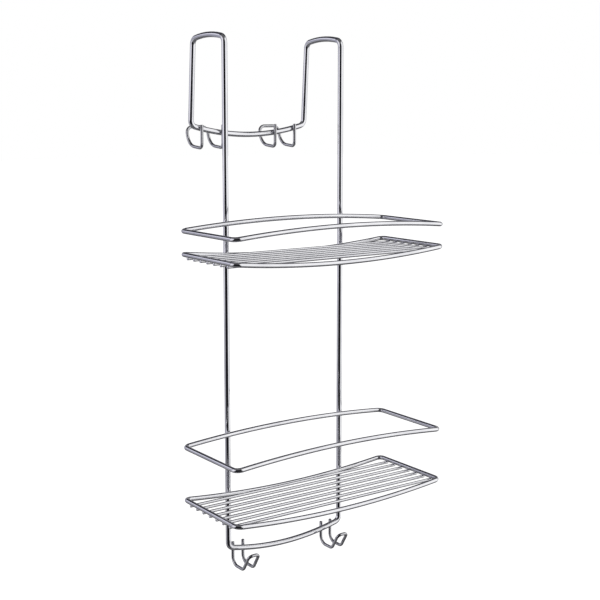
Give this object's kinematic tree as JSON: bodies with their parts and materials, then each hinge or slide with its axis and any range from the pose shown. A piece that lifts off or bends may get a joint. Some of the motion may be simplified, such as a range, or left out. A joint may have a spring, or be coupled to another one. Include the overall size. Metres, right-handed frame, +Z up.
{
  "type": "shower caddy",
  "caption": "Chromed wire caddy that hangs over a shower door, with two slatted baskets, side-by-side wire hooks below and more hooks behind the door.",
  "frame": {"origin": "the middle of the door's top edge, where the undersides of the two arches rest on it", "axes": "+X to the right as the bather sees it, -Y out of the door towards the bather (the baskets' side), +Z up"},
  "size_m": [0.269, 0.212, 0.5806],
  "materials": {
    "frame_wire": "polished bright chrome on 6 mm bent steel wire",
    "ring_wire": "polished bright chrome on 5 mm bent steel wire",
    "slat_wire": "bright chrome on 3.2 mm straight steel wire",
    "hook_wire": "bright chrome on 3.5 mm bent steel wire"
  },
  "bodies": {
    "root": {"hanger_frame": "frame_wire", "upper_rail": "ring_wire", "upper_shelf_ring": "ring_wire", "upper_slat_1": "slat_wire", "upper_slat_2": "slat_wire", "upper_slat_3": "slat_wire", "upper_slat_4": "slat_wire", "upper_slat_5": "slat_wire", "upper_slat_6": "slat_wire", "upper_slat_7": "slat_wire", "lower_rail": "ring_wire", "lower_shelf_ring": "ring_wire", "lower_slat_1": "slat_wire", "lower_slat_2": "slat_wire", "lower_slat_3": "slat_wire", "lower_slat_4": "slat_wire", "lower_slat_5": "slat_wire", "lower_slat_6": "slat_wire", "lower_slat_7": "slat_wire", "bottom_hook_left": "hook_wire", "bottom_hook_right": "hook_wire", "rear_hook_left": "hook_wire", "rear_hook_right": "hook_wire"}
  },
  "joints": []
}
